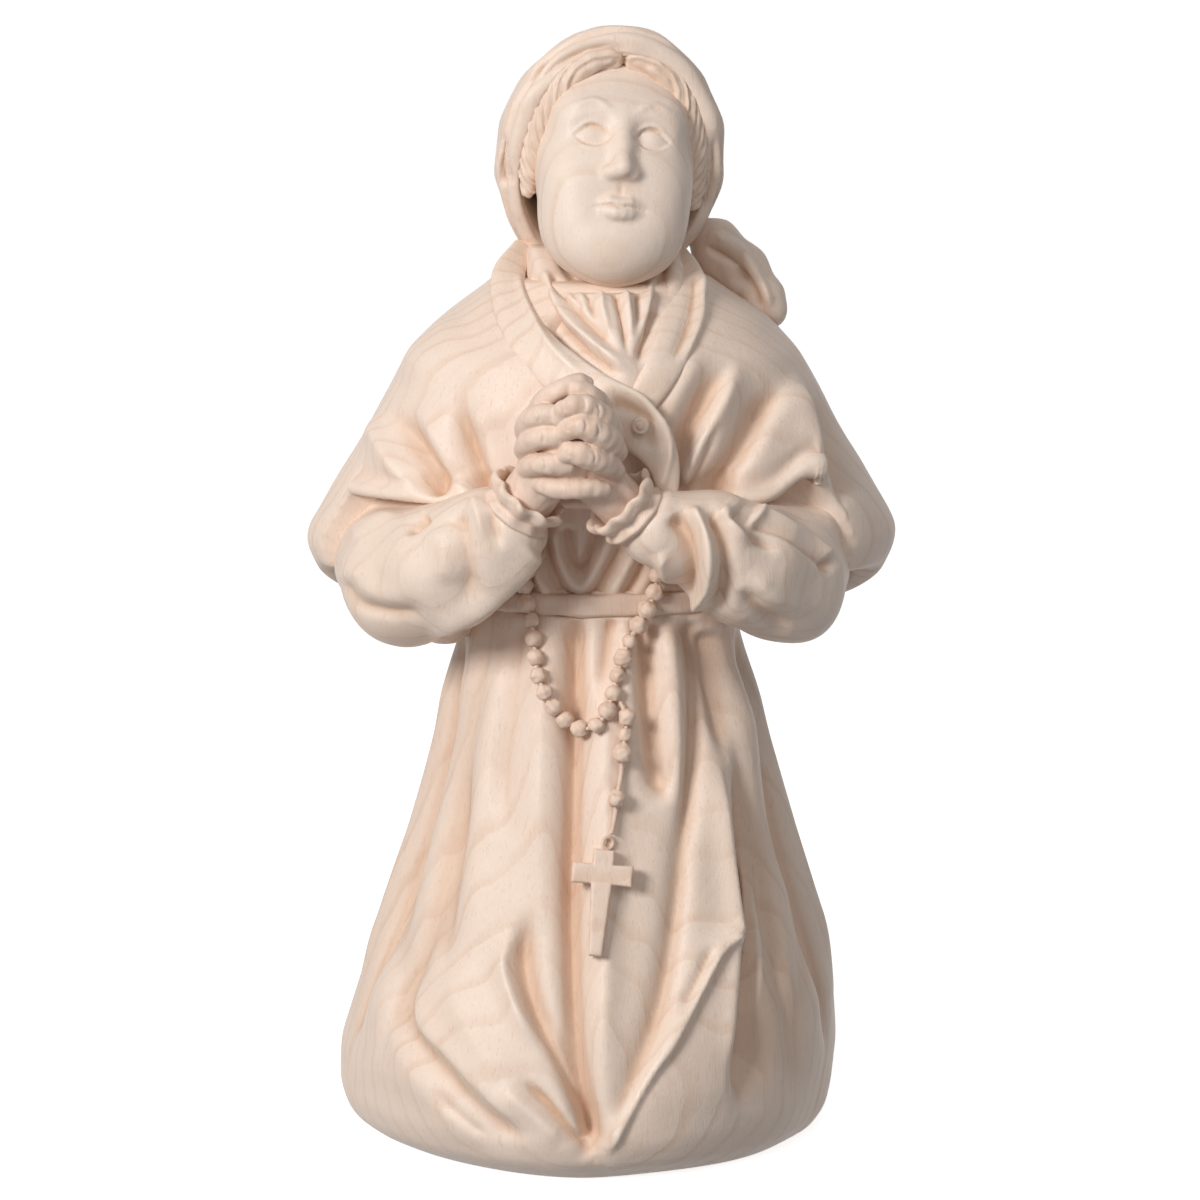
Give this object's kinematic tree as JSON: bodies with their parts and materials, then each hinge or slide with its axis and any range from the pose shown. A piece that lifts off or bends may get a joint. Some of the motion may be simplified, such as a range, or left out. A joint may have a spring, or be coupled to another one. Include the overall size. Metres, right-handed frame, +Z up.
{
  "type": "carved kneeling prayer figure",
  "caption": "Carved maple figure of a kneeling woman in kerchief, cape and long skirt, hands clasped in prayer with a rosary hanging from the wrists.",
  "frame": {"origin": "centre of the bounding box, on the plane the figure stands on", "axes": "+Z up; -Y is the way the figure faces; +X to the viewer's right, which is the figure's left"},
  "size_m": [0.1304, 0.1284, 0.2504],
  "materials": {
    "skirt_wood": "carved, fine-sanded, unpainted maple",
    "waistband_wood": "carved, fine-sanded, unpainted maple",
    "bodice_wood": "carved, fine-sanded, unpainted maple",
    "cape_wood": "carved, fine-sanded, unpainted maple",
    "lapel_wood": "carved, fine-sanded, unpainted maple",
    "neckerchief_wood": "carved, fine-sanded, unpainted maple",
    "sleeve_wood": "carved, fine-sanded, unpainted maple",
    "cuff_wood": "carved, fine-sanded, unpainted maple",
    "hands_wood": "carved, fine-sanded, unpainted maple",
    "head_wood": "carved, fine-sanded, unpainted maple",
    "kerchief_wood": "carved, fine-sanded, unpainted maple",
    "button_wood": "carved, fine-sanded, unpainted maple",
    "rosary_wood": "carved, fine-sanded, unpainted maple",
    "cross_wood": "carved, fine-sanded, unpainted maple",
    "dowel_wood": "plain turned beech pegs, hidden in their bores"
  },
  "bodies": {
    "root": {"skirt_front_board": "skirt_wood", "skirt_middle_board": "skirt_wood", "skirt_back_board": "skirt_wood", "waistband": "waistband_wood", "bodice": "bodice_wood", "cape_front_board": "cape_wood", "cape_back_board": "cape_wood", "right_lapel": "lapel_wood", "left_lapel": "lapel_wood", "neckerchief": "neckerchief_wood", "right_sleeve": "sleeve_wood", "left_sleeve": "sleeve_wood", "right_cuff": "cuff_wood", "left_cuff": "cuff_wood", "clasped_hands": "hands_wood", "head": "head_wood", "kerchief": "kerchief_wood", "kerchief_tail": "kerchief_wood", "cape_button": "button_wood", "rosary_bead_01": "rosary_wood", "rosary_bead_02": "rosary_wood", "rosary_bead_03": "rosary_wood", "rosary_bead_04": "rosary_wood", "rosary_bead_05": "rosary_wood", "rosary_bead_06": "rosary_wood", "rosary_bead_07": "rosary_wood", "rosary_bead_08": "rosary_wood", "rosary_bead_09": "rosary_wood", "rosary_bead_10": "rosary_wood", "rosary_bead_11": "rosary_wood", "rosary_bead_12": "rosary_wood", "rosary_bead_13": "rosary_wood", "rosary_bead_14": "rosary_wood", "rosary_bead_15": "rosary_wood", "rosary_bead_16": "rosary_wood", "rosary_bead_17": "rosary_wood", "rosary_bead_18": "rosary_wood", "rosary_bead_19": "rosary_wood", "rosary_bead_20": "rosary_wood", "rosary_bead_21": "rosary_wood", "rosary_bead_22": "rosary_wood", "rosary_bead_23": "rosary_wood", "pendant_bead_1": "rosary_wood", "pendant_bead_2": "rosary_wood", "pendant_bead_3": "rosary_wood", "pendant_bead_4": "rosary_wood", "rosary_cord": "rosary_wood", "pendant_cord": "rosary_wood", "rosary_cross": "cross_wood", "right_waist_dowel": "dowel_wood", "left_waist_dowel": "dowel_wood", "neck_dowel": "dowel_wood", "right_arm_dowel": "dowel_wood", "left_arm_dowel": "dowel_wood", "tail_dowel": "dowel_wood"}
  },
  "joints": []
}
